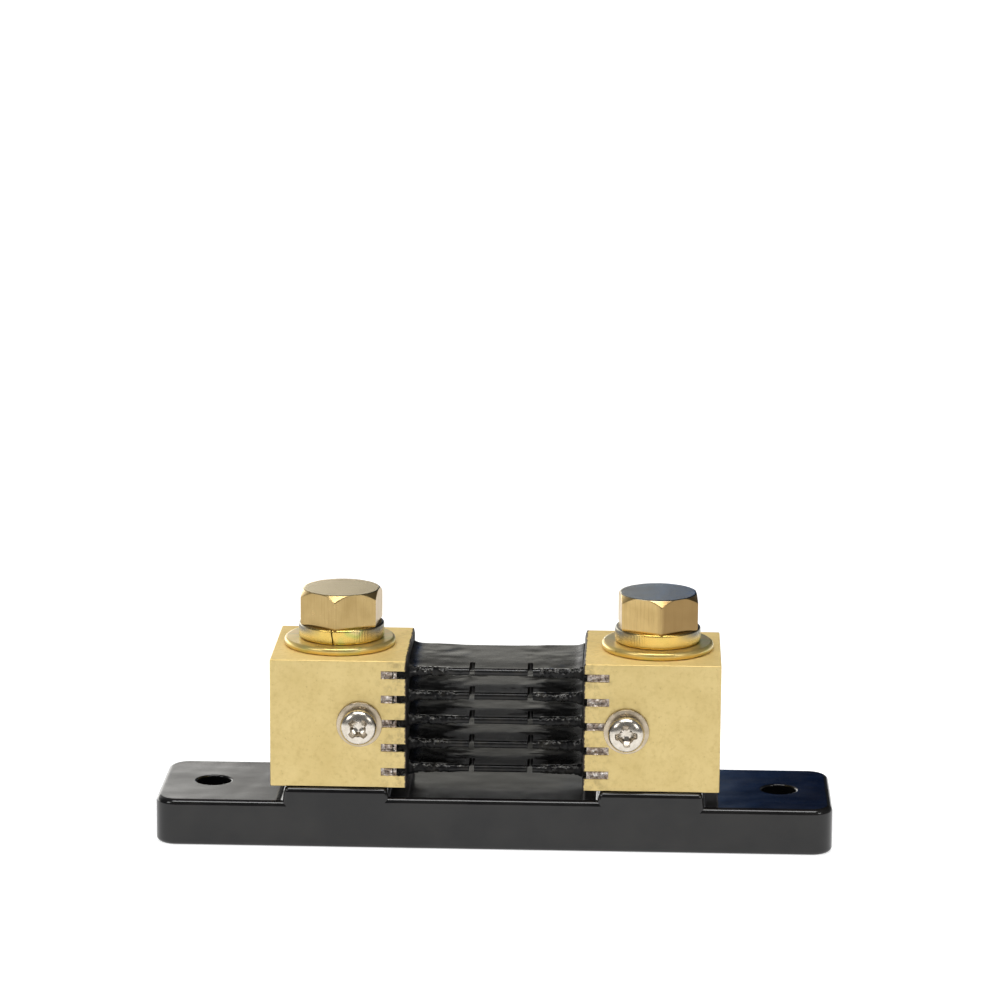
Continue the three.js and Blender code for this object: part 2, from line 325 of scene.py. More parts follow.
class Look(Nodes):
    """A material and the nodes that feed its shader."""

    def __init__(self, name, colour, metallic, roughness, **sockets):
        self.material = bpy.data.materials.new(name)
        self.material.use_nodes = True
        super().__init__(self.material.node_tree, "Object")
        self.shader = self.tree.nodes["Principled BSDF"]
        self.set(Base_Color=(*colour, 1), Metallic=metallic, Roughness=roughness, **sockets)

    def set(self, **sockets):
        self.feed(self.shader, **sockets)

    def bump(self, height, depth, under=None):
        """Relief whose full height is depth, in millimetres, on top of another relief."""
        node = self.node("Bump")
        relief = self.feed(node, Strength=1.0, Distance=depth * MM, Height=height)
        if under is not None:
            self.feed(node, Normal=under)
        self.set(Normal=relief)
        return relief


def black_moulding():
    """Glossy black thermoset with faint flow marks, fine scratches and a little dust."""
    look = Look("black_moulding", (0.006, 0.006, 0.007), 0.0, 0.18, IOR=1.46)
    cloud = look.noise(9, detail=5)
    streaks = look.noise(1.6, detail=3, vector=look.stretched(0.12, 1, 1, turn=(0, 0, 12)))
    dust = look.ramp(look.noise(0.5, detail=6, roughness=0.75), (0.69, 0.0), (0.76, 1.0))
    patchy = look.times(dust, look.span(cloud, 0.45, 0.7))
    plain = look.ramp(cloud, (0.35, (0.0025, 0.0025, 0.003)), (0.65, (0.01, 0.0095, 0.009)))
    look.set(Base_Color=look.mix(look.times(patchy, 0.3), plain, (0.09, 0.085, 0.08)))
    rough = look.span(streaks, 0.35, 0.7, 0.1, 0.16)
    look.set(Roughness=look.plus(rough, look.times(patchy, 0.25)))
    flow = look.bump(look.noise(14, detail=2), 0.12)
    look.bump(look.noise(0.25, detail=2), 0.0035, flow)
    return look.material


def black_paint():
    """Thick enamel on the strips. It is glossy and faintly dusty in the middle, deep black by the blocks, where it
    was daubed on, and gritty along the daubed rims, where light grey flecks are painted on as painted glints.
    Upright faces are dull, and the lower strips less glossy than the top one."""
    strip_low, strip_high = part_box(STRIPS[0])
    front, top = strip_low.y, strip_high.z
    left, right = (block_faces(side)[0] for side in SIDES)
    middle, half = (left + right) / 2, (right - left) / 2
    look = Look("black_paint", (0.005, 0.005, 0.0055), 0.0, 0.1, IOR=1.5)
    flow = look.noise(3.5)
    fine = look.noise(0.28, roughness=0.75)
    brush = look.noise(0.8, detail=3, vector=look.stretched(0.2, 1, 1))
    dust = look.ramp(look.noise(2.2, detail=6, roughness=0.7), (0.42, 0.0), (0.75, 1.0))
    facing_up = look.axis("Z", look.node("NewGeometry").outputs["Normal"])
    upright = look.span(facing_up, 0.4, 0.85, 1.0, 0.0)
    rim = look.times(look.span(facing_up, 0.4, 0.6), look.span(facing_up, 0.8, 0.95, 1.0, 0.0))

    reach = look.away("X", middle)
    ragged = look.plus(reach, look.times(look.noise(4, detail=5), 9 * MM))
    streaks = look.noise(2.6, vector=look.stretched(0.22, 1, 1))
    ragged = look.plus(ragged, look.span(streaks, 0.52, 0.66, 0.0, 8 * MM))
    daubed = look.span(ragged, half - 3.8 * MM, half - 2.6 * MM)
    by_front = look.span(look.axis("Y"), front + 0.6 * MM, front + 1.3 * MM, 1.0, 0.0)
    below = look.span(look.axis("Z"), top - 1.2 * MM, top - 0.5 * MM, 1.0, 0.0)
    wavy_reach = look.plus(reach, look.times(flow, 2.4 * MM))
    corner = look.span(wavy_reach, half - 2 * MM, half + 0.6 * MM)
    deep = look.most(look.times(daubed, look.most(by_front, below)), look.times(corner, 0.92))
    crumbs = look.times(rim, look.span(look.noise(1.1, detail=3), 0.4, 0.56))
    gritty = look.times(look.times(daubed, by_front), crumbs)

    skin = look.mix(look.times(dust, 0.7), (0.0045, 0.0045, 0.0048), (0.026, 0.023, 0.018))
    # Painted highlight: light grey flecks on the gritty rims stand for glints.
    painted_glints = look.times(gritty, look.span(fine, 0.5, 0.62, 0.0, 0.9))
    look.set(Base_Color=look.mix(painted_glints, skin, (0.26, 0.25, 0.22)))
    hushed = look.times(deep, look.span(upright, 0.0, 1.0, 0.94, 0.6))
    quiet = look.most(look.times(upright, 0.3), hushed)
    lower_strips = look.span(look.axis("Z"), top - 19 * MM, top - 4.5 * MM, 0.08, 0.2)
    top_strip = look.span(look.axis("Z"), top - 3 * MM, top - 2 * MM, 0.0, 0.5)
    gloss_here = look.most(look.times(upright, 0.42), look.most(lower_strips, top_strip))
    shine = look.times(gloss_here, look.less(1.0, quiet))
    look.set(Specular_IOR_Level=look.plus(shine, look.times(gritty, 0.8)))
    gloss = look.span(look.plus(flow, look.times(brush, 0.5)), 0.6, 1.0, 0.07, 0.17)
    dull = look.plus(look.times(upright, 0.2), look.times(corner, 0.28))
    look.set(Roughness=look.plus(gloss, dull))
    sag = look.bump(brush, 0.008)
    look.bump(look.times(fine, look.span(gritty, 0.0, 1.0, 0.04, 1.0)), 0.16, sag)
    return look.material


def block_brass(side):
    """Milled bar brass with faint cutter lines, handling marks and flux stains round the slots.
    The top is matt and painted paler as painted light, the foot is painted near black as painted shade, and a thin
    line of paint follows the inner edges."""
    low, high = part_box(f"{side}_terminal_block")
    look = Look(f"{side}_block_brass", (0.63, 0.49, 0.22), 1.0, 0.42)
    cloud = look.noise(7, detail=5)
    mottle = look.noise(0.9, detail=5, roughness=0.7)
    lines = look.noise(0.28, detail=2, vector=look.stretched(0.06, 1, 1))
    drag = look.noise(0.22, detail=2, vector=look.stretched(1, 1, 0.08))
    spots = look.ramp(look.noise(1.7, detail=6, roughness=0.8), (0.66, 0.0), (0.74, 1.0))
    flecks = look.ramp(look.noise(0.45, detail=3, roughness=0.7), (0.69, 0.0), (0.74, 1.0))
    flux = look.ramp(look.noise(1.6, detail=6, roughness=0.75), (0.45, 0.0), (0.68, 1.0))
    reach = look.away("X", block_faces(side)[0])
    teeth = look.span(reach, 1.5 * MM, 6.5 * MM, 1.0, 0.0)
    # The matt top, whose colour is also painted paler as painted light.
    planed_top_and_painted_light = look.span(look.axis("Z"), high.z - 0.3 * MM, high.z - 0.1 * MM)
    # Painted shade: the block's foot, where it sits over the pad, is painted near black.
    foot = look.span(look.axis("Z"), low.z + 0.02 * MM, low.z + 0.14 * MM, 1.0, 0.0)
    ragged = look.times(look.noise(1.1, detail=5, roughness=0.75), 1.1 * MM)
    edge = look.span(look.less(reach, ragged), -0.36 * MM, -0.24 * MM, 1.0, 0.0)

    base = look.mix(look.span(cloud, 0.35, 0.68), (0.665, 0.525, 0.24), (0.6, 0.465, 0.2))
    base = look.mix(look.span(mottle, 0.48, 0.85, 0, 0.6), base, (0.5, 0.37, 0.14))
    base = look.mix(look.span(drag, 0.55, 0.8, 0, 0.16), base, (0.46, 0.38, 0.18))
    base = look.mix(look.times(spots, 0.45), base, (0.36, 0.25, 0.11))
    base = look.mix(look.times(flecks, 0.6), base, (0.22, 0.16, 0.08))
    stained = look.times(look.times(teeth, flux), look.span(planed_top_and_painted_light, 0, 1, 0.55, 0.2))
    base = look.mix(stained, base, (0.25, 0.19, 0.09))
    # Painted light: the top's brass colour is painted up to 1.5 times paler.
    base = look.mix(planed_top_and_painted_light, base, look.mix(1.0, base, (1.5, 1.45, 1.3), "MULTIPLY"))
    # Painted shade on the foot.
    base = look.mix(foot, base, (0.02, 0.014, 0.01))
    look.set(Base_Color=look.mix(edge, base, (0.04, 0.025, 0.015)))
    matt = look.most(look.times(planed_top_and_painted_light, 0.65), look.times(edge, 0.9))
    look.set(Metallic=look.less(1.0, matt))
    rough = look.plus(look.span(mottle, 0.3, 0.8, 0.34, 0.5), look.times(planed_top_and_painted_light, 0.19))
    look.set(Roughness=look.plus(rough, look.times(spots, 0.1)))
    milled = look.bump(lines, 0.005)
    look.bump(cloud, 0.02, look.bump(drag, 0.003, milled))
    return look.material


# The spun tops' tint. The right bolt's top is painted grey as a painted reflection of the bluish backdrop.
BOLT_PALE_TOP_AND_PAINTED_REFLECTION = {"left": (0.44, 0.34, 0.14), "right": (0.38, 0.38, 0.33)}
# Painted light: the right bolt, the same brass as the left, is painted 1.25 times brighter.
BOLT_PAINTED_BRIGHTNESS = {"left": 1.0, "right": 1.25}
# How far the right half of each bolt's flats is painted darker, as painted shade.
BOLT_PAINTED_SHADE = {"left": 0.0, "right": 0.85}


def bolt_brass(side):
    """Turned and drawn brass: paler rings on the top, fine upright lines on the flats. Painted shade darkens the
    right half of the right bolt's flats."""
    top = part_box(f"{side}_terminal_bolt")[1].z
    look = Look(f"{side}_bolt_brass", (0.43, 0.31, 0.13), 1.0, 0.34)
    local = look.from_centre(STUDS[side])
    cloud = look.noise(4, detail=5)
    lines = look.noise(0.35, roughness=0.7, vector=look.stretched(1, 1, 0.04, vector=local))
    rings = look.feed(
        look.node("TexWave", wave_type="RINGS", rings_direction="Z"),
        Vector=local, Scale=520.0, Distortion=1.2, Detail=2.0,
    )
    stain = look.ramp(look.noise(1.2, detail=6, roughness=0.8), (0.6, 0.0), (0.75, 1.0))
    across = look.less(look.axis("X"), STUDS[side].x)
    # Painted shade: the right half of the right bolt's flats is painted darker.
    dark = look.times(look.span(across, -0.3 * MM, 1.2 * MM), BOLT_PAINTED_SHADE[side])
    faced = look.span(look.axis("Z"), top - 0.12 * MM, top - 0.04 * MM)

    # The bright and warm shades are scaled by each bolt's painted brightness.
    bright, warm = (
        tuple(part * BOLT_PAINTED_BRIGHTNESS[side] for part in shade)
        for shade in ((0.47, 0.34, 0.15), (0.41, 0.29, 0.12))
    )
    colour = look.mix(look.span(cloud, 0.3, 0.7), bright, warm)
    colour = look.mix(look.span(lines, 0.45, 0.75, 0, 0.55), colour, (0.33, 0.22, 0.09))
    colour = look.mix(look.times(stain, 0.4), colour, (0.26, 0.17, 0.08))
    colour = look.mix(dark, colour, (0.24, 0.15, 0.06))
    spun = look.mix(look.span(cloud, 0.35, 0.7, 0.0, 0.3), BOLT_PALE_TOP_AND_PAINTED_REFLECTION[side], (0.4, 0.29, 0.13))
    look.set(Base_Color=look.mix(faced, colour, spun))
    dull = look.span(cloud, 0.3, 0.75, 0.26, 0.38)
    look.set(Roughness=look.less(dull, look.times(faced, 0.1)))
    look.bump(lines, 0.012, look.bump(rings, 0.0004))
    return look.material


ZINC_RIBS = 150


def zinc_gold(look, around, pale, deep, film_share):
    """Yellow chromate on zinc: gold with soft green and rose patches."""
    cloud = look.noise(9, detail=1, distortion=0.6)
    film = look.ramp(
        look.math("FRACT", look.plus(look.times(cloud, 2.0), around)),
        (0.0, (0.72, 0.47, 0.12)), (0.3, (0.7, 0.5, 0.13)), (0.44, (0.45, 0.48, 0.14)),
        (0.58, (0.66, 0.56, 0.26)), (0.72, (0.7, 0.45, 0.2)), (0.84, (0.5, 0.47, 0.26)),
        (1.0, (0.72, 0.47, 0.12)),
    )
    gold = look.mix(look.span(look.noise(3), 0.3, 0.7), pale, deep)
    return look.mix(film_share, gold, film)


def share_round(look, centre):
    """From 0 to 1 once round a centre."""
    gradient = look.node("TexGradient", gradient_type="RADIAL")
    return look.feed(gradient, Vector=look.from_centre(centre))


def plain_zinc(side):
    """The flat washers' plating, rather matt."""
    look = Look(f"{side}_plain_zinc", (0.66, 0.47, 0.13), 0.75, 0.22)
    around = share_round(look, STUDS[side])
    look.set(Base_Color=zinc_gold(look, around, (0.7, 0.56, 0.23), (0.6, 0.47, 0.18), 0.4))
    look.set(Roughness=look.span(look.noise(2), 0.3, 0.75, 0.27, 0.38))
    look.bump(look.noise(0.8, detail=2), 0.003)
    return look.material


def ribbed_zinc(side):
    """The lock washers' plating, over upright ribs from rolling. Its left and right, near the top, are painted
    grey-blue as painted shade under the head."""
    low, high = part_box(f"{side}_spring_washer")
    radius, height = (high.y - low.y) / 2, high.z - low.z
    look = Look(f"{side}_lock_zinc", (0.66, 0.47, 0.13), 1.0, 0.22)
    around = share_round(look, STUDS[side])
    gold = zinc_gold(look, around, (0.7, 0.51, 0.16), (0.59, 0.43, 0.12), 0.8)
    # Painted shade: the washer's left and right ends, near the top, are painted deep grey-blue.
    ends = look.span(look.away("X", STUDS[side].x), 0.4 * radius, 0.85 * radius)
    rise = look.span(look.axis("Z"), low.z + 0.35 * height, low.z + 0.75 * height)
    painted_upper_shade = look.times(look.times(ends, rise), 0.85)
    look.set(Base_Color=look.mix(painted_upper_shade, gold, (0.1, 0.115, 0.12)))
    look.set(Roughness=look.span(look.noise(2), 0.3, 0.75, 0.2, 0.3))
    under_rim = look.span(look.axis("Z"), high.z - 0.5 * MM, high.z - 0.35 * MM, 1.0, 0.0)
    ribs = look.math("SINE", look.times(around, 2 * math.pi * ZINC_RIBS))
    look.bump(look.times(ribs, under_rim), 0.022, look.bump(look.noise(0.9, detail=1), 0.003))
    return look.material


SOLDER_GRAIN = 0.28 * MM


def dull_solder():
    """Grey solder with a crystalline, oxidised skin, brown flux and a few bright grains."""
    look = Look("dull_solder", (0.3, 0.27, 0.24), 1.0, 0.45)
    grains = look.feed(look.node("TexVoronoi"), Vector=look.place, Scale=1 / SOLDER_GRAIN)
    cloud = look.noise(0.8, detail=5, roughness=0.7)
    look.set(Base_Color=look.ramp(
        cloud, (0.34, (0.13, 0.1, 0.085)), (0.47, (0.34, 0.28, 0.24)), (0.57, (0.5, 0.45, 0.41)),
        (0.66, (0.88, 0.86, 0.83)),
    ))
    look.set(Roughness=look.span(cloud, 0.3, 0.7, 0.6, 0.25))
    look.bump(cloud, 0.07, look.bump(grains, 0.02))
    return look.material


def bright_nickel():
    """Nickel plate with fine scratches and a slightly warm tint."""
    look = Look("bright_nickel", (0.64, 0.59, 0.52), 1.0, 0.16)
    cloud = look.noise(1.2, detail=5)
    hair = look.noise(0.12, detail=2, vector=look.stretched(1, 1, 0.1, turn=(0, 35, 20)))
    tint = look.mix(look.span(cloud, 0.35, 0.7), (0.68, 0.63, 0.56), (0.55, 0.5, 0.42))
    look.set(Base_Color=tint, Roughness=look.span(cloud, 0.3, 0.7, 0.16, 0.3))
    look.bump(cloud, 0.012, look.bump(hair, 0.003))
    return look.material


def dull_nickel():
    """Worn, warm nickel on the small washers, with a stamped grain."""
    look = Look("dull_nickel", (0.48, 0.41, 0.3), 1.0, 0.3)
    cloud = look.noise(1.5, detail=5)
    tint = look.mix(look.span(cloud, 0.3, 0.7), (0.54, 0.46, 0.35), (0.42, 0.35, 0.25))
    look.set(Base_Color=tint, Roughness=look.span(cloud, 0.3, 0.7, 0.22, 0.38))
    look.bump(look.noise(0.2, detail=3), 0.004)
    return look.material


def dress(piece, body, material, slot, *nodes):
    """Gives a piece its material and ties it to its body and CAD nodes. The slot is not used."""
    piece.data.materials.clear()
    piece.data.materials.append(material)
    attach(piece, body)
    if nodes:
        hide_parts(*nodes)


# ---- base

MIDDLE_HEIGHT = 9.8 * MM
PAD_FOOT = 10 * MM
PAD_TOP = 9.7 * MM
PAD_CENTRE = 29.4 * MM
PLAN_CORNER = 4 * MM
TOP_ROUNDING = 1.45 * MM
BOTTOM_ROUNDING = 1.15 * MM
PAD_ROUNDING = 1.25 * MM
FOOT_ROUNDING = 0.5 * MM
HOLE_LIP = 0.35 * MM
MOUNTING_HOLE_RADIUS = 3.3 * MM
COUNTERBORE_RADIUS = 4 * MM
COUNTERBORE_DEPTH = 4 * MM
SCREW_HOLE_RADIUS = 2.25 * MM


def flange_top(side):
    return MOUNTS[f"{side}_mounting_flange"]["pos_m"][2]


def base_outline(low, high):
    """The base from the front, as (x, z) points, anticlockwise."""
    flange = flange_top("left")
    half = [
        (high.x, low.z), (high.x, flange), (PAD_CENTRE + PAD_FOOT, flange),
        (PAD_CENTRE + PAD_TOP, high.z), (PAD_CENTRE - PAD_TOP, high.z),
        (PAD_CENTRE - PAD_FOOT, MIDDLE_HEIGHT),
    ]
    return half + [(-x, z) for x, z in half[::-1]]


def lies_along(edge, axis):
    """Whether an edge runs along the axis of that number."""
    return abs((edge.verts[0].co - edge.verts[1].co).normalized()[axis]) > 0.99


def hole_cutter(bottom, top):
    """A round cutter for a mounting hole, with a rounded lip at both ends."""
    mouth = MOUNTING_HOLE_RADIUS + HOLE_LIP
    lower, upper = [], []
    for angle in np.linspace(0, math.pi / 2, 5):
        across, along = HOLE_LIP * math.sin(angle), HOLE_LIP * math.cos(angle)
        lower.append((mouth - across, bottom + HOLE_LIP - along))
        upper.append((mouth - along, top - HOLE_LIP + across))
    return lathe("hole_cutter", [(mouth, bottom - MM), *lower, *upper, (mouth, top + MM)], 64)


def screw_cutter(bottom, top):
    """A cutter for a base screw's hole and the counterbore below it."""
    return lathe("counterbore", [
        (COUNTERBORE_RADIUS + HOLE_LIP, bottom - MM), (COUNTERBORE_RADIUS + HOLE_LIP, bottom),
        (COUNTERBORE_RADIUS, bottom + HOLE_LIP), (COUNTERBORE_RADIUS, COUNTERBORE_DEPTH),
        (SCREW_HOLE_RADIUS, COUNTERBORE_DEPTH), (SCREW_HOLE_RADIUS, top + MM),
    ], 48)


def base_moulding():
    low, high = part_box("base")
    outline = base_outline(low, high)
    piece = prism("base_moulding", outline, low.y, high.y, lambda x, z, y: (x, y, z))
    with edited(piece.data) as shape:
        corners = [edge for edge in shape.edges
                   if lies_along(edge, 2) and abs(edge.verts[0].co.x) > high.x - MM]
        bmesh.ops.bevel(
            shape, geom=corners, offset=PLAN_CORNER, segments=12, profile=0.5, affect="EDGES",
        )

    def share(edge, middle):
        """How much of the top rounding each edge gets."""
        at_end = abs(middle.x) > high.x - PLAN_CORNER * 1.01
        if lies_along(edge, 1) and not at_end:
            return (PAD_ROUNDING if middle.z > high.z - 0.1 * MM else FOOT_ROUNDING) / TOP_ROUNDING
        return BOTTOM_ROUNDING / TOP_ROUNDING if middle.z < low.z + MM else 1.0

    round_edges(piece, TOP_ROUNDING, 6, share)
    for side in SIDES:
        hole_low, hole_high = OPENINGS[f"{side}_mounting_hole"]["box_m"]
        cutter = hole_cutter(low.z, flange_top(side))
        carve(piece, shift(cutter, (hole_low[0] + hole_high[0]) / 2, 0))
        for end in ENDS:
            screw_low, screw_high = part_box(f"{side}_base_screw_{end}")
            place = ((screw_low + screw_high) / 2).xy
            carve(piece, shift(screw_cutter(low.z, high.z), *place))
    return smooth(piece)


# ---- blocks

SLOT_EASE = 0.06 * MM
BLOCK_EASE = 0.28 * MM
TAPPED_RADIUS = 4.9 * MM
TAPPED_DEPTH = 17 * MM
SENSE_HOLE_RADIUS = 1.85 * MM
SENSE_HOLE_DEPTH = 9.2 * MM


def slot_boxes(side):
    """(low z, high z, inner end x) of each saw cut in a block, top first."""
    found = []
    for number in NUMBERS:
        low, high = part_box(f"{side}_solder_{number}")
        found.append((low.z, high.z, low.x if side == "left" else high.x))
    return found


def block_faces(side):
    """The x of a block's inner face, towards the strips, and of its outer face."""
    low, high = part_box(f"{side}_terminal_block")
    return (high.x, low.x) if side == "left" else (low.x, high.x)


def drill(radius, depth, tip, point, flare, over, sides):
    """A cutter for a blind hole down from zero, pointed below and flared at its mouth."""
    mouth = [(radius, over - flare), (radius + flare, over)]
    return lathe("drill", [(tip, -depth - point), (radius, -depth), *mouth], sides)


def terminal_block(side):
    """A comb-shaped bar, drilled from the top for the bolt and from the front for the screw."""
    low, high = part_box(f"{side}_terminal_block")
    inner, outer = block_faces(side)
    outline = [(outer, high.z), (outer, low.z), (inner, low.z)]
    for slot_low, slot_high, end in slot_boxes(side)[::-1]:
        outline += [(inner, slot_low), (end, slot_low), (end, slot_high), (inner, slot_high)]
    outline.append((inner, high.z))
    piece = prism(f"{side}_block", outline, low.y, high.y, lambda x, z, y: (x, y, z))

    def share(edge, middle):
        """How much of the block's easing each edge gets. The slots' edges are crisper."""
        on_outer = abs(middle.x - outer) < 0.01 * MM
        slotted = low.z + MM < middle.z < high.z - MM and not on_outer
        return SLOT_EASE / BLOCK_EASE if slotted else 1.0

    round_edges(piece, BLOCK_EASE, 3, share)
    bolt_hole = drill(
        TAPPED_RADIUS, TAPPED_DEPTH, tip=0.49 * MM, point=2 * MM, flare=0.6 * MM, over=0.1 * MM, sides=96,
    )
    carve(piece, shift(bolt_hole, *STUDS[side].xy, high.z))
    screw_hole = drill(
        SENSE_HOLE_RADIUS, SENSE_HOLE_DEPTH, tip=0.2 * MM, point=MM, flare=0.35 * MM, over=0.05 * MM,
        sides=64,
    )
    carve(piece, move(screw_hole, sense_frame(side, low.y)))
    return smooth(piece)


# ---- strips, paint and solder

STRIP_EDGE = 0.58 * MM
CUT_WIDTH = 1.0 * MM
CUT_DEPTH = 4.9 * MM
CUT_PLACES = (-4.2 * MM, 6.7 * MM)
STATION_STEP = 0.2 * MM
SECTION_STEP = 0.35 * MM
SOLDER_RUN = 1.2 * MM
SOLDER_RECESS = 0.4 * MM
SOLDER_RELIEF = 0.16 * MM
BEAD_ROWS = 15
BEAD_COLUMNS = 25
PLUG_REACH = {"left": 2.6 * MM, "right": 0.75 * MM}
PLUG_RECESS = 0.3 * MM
PLUG_RELIEF = 0.3 * MM
COAT_MARGIN = 0.35 * MM
COAT_THICKNESS = 0.14 * MM
COAT_LEAST = 0.02 * MM
COAT_ROWS = 110
COAT_COLUMNS = 90
FILLET_HEIGHT = 0.75 * MM
FILLET_RUN = 1.2 * MM


def strip_section(low, high):
    """A rounded bar section as (y, z, normal y, normal z), round the front edge first."""
    radius = min(STRIP_EDGE, (high.z - low.z) / 2)
    points = []
    for centre_y, centre_z, start in (
        (low.y + radius, low.z + radius, 180), (high.y - radius, low.z + radius, 270),
        (high.y - radius, high.z - radius, 0), (low.y + radius, high.z - radius, 90),
    ):
        for angle in np.radians(np.linspace(start, start + 90, 5)):
            normal = (math.cos(angle), math.sin(angle))
            points.append((centre_y + radius * normal[0], centre_z + radius * normal[1], *normal))
    filled = []
    for here, there in zip(points, points[1:] + points[:1]):
        filled.append(here)
        gap = math.hypot(there[0] - here[0], there[1] - here[1])
        extra = int(gap / SECTION_STEP) if gap > MM else (1 if gap > 0.3 * MM else 0)
        for k in range(1, extra + 1):
            t = k / (extra + 1)
            filled.append(tuple(a + (b - a) * t for a, b in zip(here, there)))
    return filled


def paint_build(point, front, ends, seed):
    """How far the paint stands out from a strip. It is thicker by the blocks, where it was
    daubed on, with a gritty bead along the front edge, and smooth in the middle."""
    to_block = min(point[0] - ends[0], ends[1] - point[0])
    if to_block < 0:
        return 0.0
    wander = 3 * MM * lumps(point, 6 * MM, seed + 11, 2)
    daubed = 1 - ease(to_block + wander, 4 * MM, 13 * MM)
    near = 1 - ease(to_block + wander, 8 * MM, 10 * MM)
    inset = point[1] - front
    crown = ease(inset, 0.3 * MM, 7 * MM)
    coat = 0.05 * MM + 0.1 * MM * crown + 0.012 * MM * lumps(point, 4 * MM, seed + 5, 2)
    rise = 0.16 * MM * min(max(inset / (11 * MM), 0), 1)
    swell = rise + 0.04 * MM * (1 + lumps(point, 4 * MM, seed + 9, 2))
    fillet = 0.8 * MM * math.exp(-to_block / (0.8 * MM))
    by_edge = 1 - ease(abs(inset), 0.25 * MM, 1.3 * MM)
    sag = max(0.5 + 0.6 * lumps(point, 1.8 * MM, seed), 0.1)
    grit = lumps(point, 0.45 * MM, seed + 3)
    bead = by_edge * (near * (0.28 * MM * sag + 0.2 * MM * grit) + 0.02 * MM)
    return max(coat + daubed * swell + bead + fillet, 0.0) * ease(to_block, 0, 0.3 * MM)


def painted_strip(number):
    low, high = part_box(f"resistor_strip_{number}")
    ends = [block_faces(side)[0] for side in SIDES]
    section = strip_section(low, high)
    inside = np.arange(ends[0], ends[1], STATION_STEP)
    rings = []
    for x in (low.x, ends[0] - STATION_STEP, *inside, ends[1] + STATION_STEP, high.x):
        ring = []
        for y, z, normal_y, normal_z in section:
            out = paint_build((x, y, z), low.y, ends, number)
            ring.append((x, y + normal_y * out, z + normal_z * out))
        rings.append(ring)
    piece = loft(f"painted_strip_{number}", rings)
    half = CUT_WIDTH / 2
    over = 2 * MM
    for place in CUT_PLACES:
        lean = 0.12 * MM * lumps((place, 0, number * MM), MM, 7)
        outline = [(place - half, low.y - over), (place + half, low.y - over)]
        outline += arc((place + lean, low.y + CUT_DEPTH - half), half, 0, 180, 8)
        carve(piece, prism("cut", outline, low.z - over, high.z + over, lambda x, y, z: (x, y, z)))
    return smooth(piece, 40)


def bead_between(name, low, high, seed, recess, relief):
    """A lumpy closed bead that fills the box from low to high, hollowed at its front and back."""
    def pair(z, x):
        u = abs(2 * (x - low.x) / (high.x - low.x) - 1)
        v = abs(2 * (z - low.z) / (high.z - low.z) - 1)
        dish = recess * (1 - max(u, v) ** 3)
        front, back = (relief * (0.6 + lumps((x, k, z), 0.7 * MM, seed + k)) for k in (0, 1))
        return (x, low.y + dish + front, z), (x, high.y - dish - back, z)

    rows, columns = np.linspace(low.z, high.z, BEAD_ROWS), np.linspace(low.x, high.x, BEAD_COLUMNS)
    return slab(name, rows, columns, pair)


def solder_bead(side, number):
    low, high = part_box(f"{side}_solder_{number}")
    seed = number
    if side == "right":
        low.x -= SOLDER_RUN
        seed += 20
    name = f"{side}_solder_bead_{number}"
    return smooth(bead_between(name, low, high, seed, SOLDER_RECESS, SOLDER_RELIEF), 60)


def paint_coat(side):
    """Black paint on a block's inner face, drawn up into fillets along the strips, with plugs of
    paint in the mouths of the saw cuts."""
    low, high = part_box(f"{side}_terminal_block")
    inner = block_faces(side)[0]
    out, seed = (1, 40) if side == "left" else (-1, 60)
    strips = [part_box(name) for name in STRIPS]
    mids = [(strip_low.z + strip_high.z) / 2 for strip_low, strip_high in strips]
    front_edge, back_edge = strips[0][0].y, strips[0][1].y
    ys = np.linspace(low.y + COAT_MARGIN, high.y - COAT_MARGIN, COAT_COLUMNS)
    zs = np.linspace(low.z + COAT_MARGIN, high.z - COAT_MARGIN, COAT_ROWS)

    def pair(z, y):
        near = min(abs(z - mid) for mid in mids)
        beside = ease(y, front_edge - FILLET_RUN, front_edge)
        beside *= 1 - ease(y, back_edge, back_edge + FILLET_RUN)
        fillet = FILLET_HEIGHT * beside * math.exp(-(max(near - 0.55 * MM, 0) / (0.45 * MM)) ** 2)
        rough = 0.5 * lumps((inner, y, z), 2.5 * MM, seed, 2)
        edge = ease(min(y - ys[0], ys[-1] - y, z - zs[0], zs[-1] - z), 0, 0.5 * MM)
        paint = COAT_THICKNESS * (1.2 + rough) + fillet * (0.8 + 0.4 * rough)
        height = max(edge * paint, 0) + COAT_LEAST
        wander = (1 - edge) * 0.35 * MM * lumps((y, z, inner), 0.9 * MM, seed + 2)
        return (inner + out * height, y, z + wander), (inner - out * 0.04 * MM, y, z + wander)

    parts = [slab("skin", zs, ys, pair)]
    for number, (slot_low, slot_high, _) in enumerate(slot_boxes(side)):
        a, b = inner - out * PLUG_REACH[side], inner + out * 0.1 * MM
        plug_low = Vector((min(a, b), low.y + 0.3 * MM, slot_low + 0.02 * MM))
        plug_high = Vector((max(a, b), high.y - 0.3 * MM, slot_high - 0.02 * MM))
        parts.append(bead_between("plug", plug_low, plug_high, seed + number, PLUG_RECESS, PLUG_RELIEF))
    return smooth(join(f"{side}_paint_coat", parts), 60)


# ---- threaded hardware

